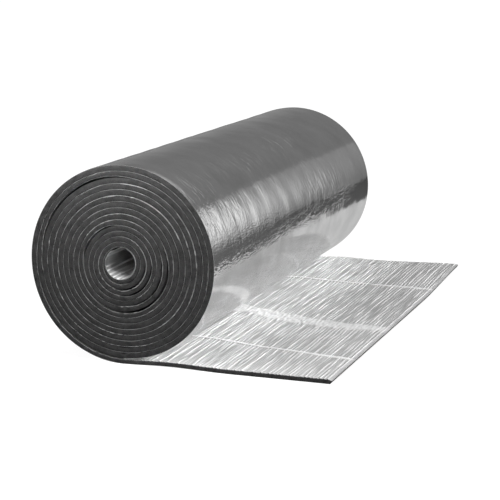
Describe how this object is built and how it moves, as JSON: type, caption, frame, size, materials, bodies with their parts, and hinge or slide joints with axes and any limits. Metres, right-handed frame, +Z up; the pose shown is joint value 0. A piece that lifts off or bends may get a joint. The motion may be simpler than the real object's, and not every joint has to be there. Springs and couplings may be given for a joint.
{
  "type": "insulation roll",
  "caption": "Coreless roll of black foam insulation sheet with silver foil on both faces, lying on its side with its loose end laid out flat.",
  "frame": {"origin": "middle of the footprint, on the floor", "axes": "+Y along the roll's axis, +X the way the loose end points, +Z up"},
  "size_m": [0.5841, 1, 0.3684],
  "materials": {
    "foam": "matt closed-cell foam",
    "foil": "bright foil, wrinkled where it was on the inside of a turn"
  },
  "bodies": {
    "root": {"foam_sheet": "foam", "roll_foil": "foil", "loose_end_foil": "foil"}
  },
  "joints": []
}
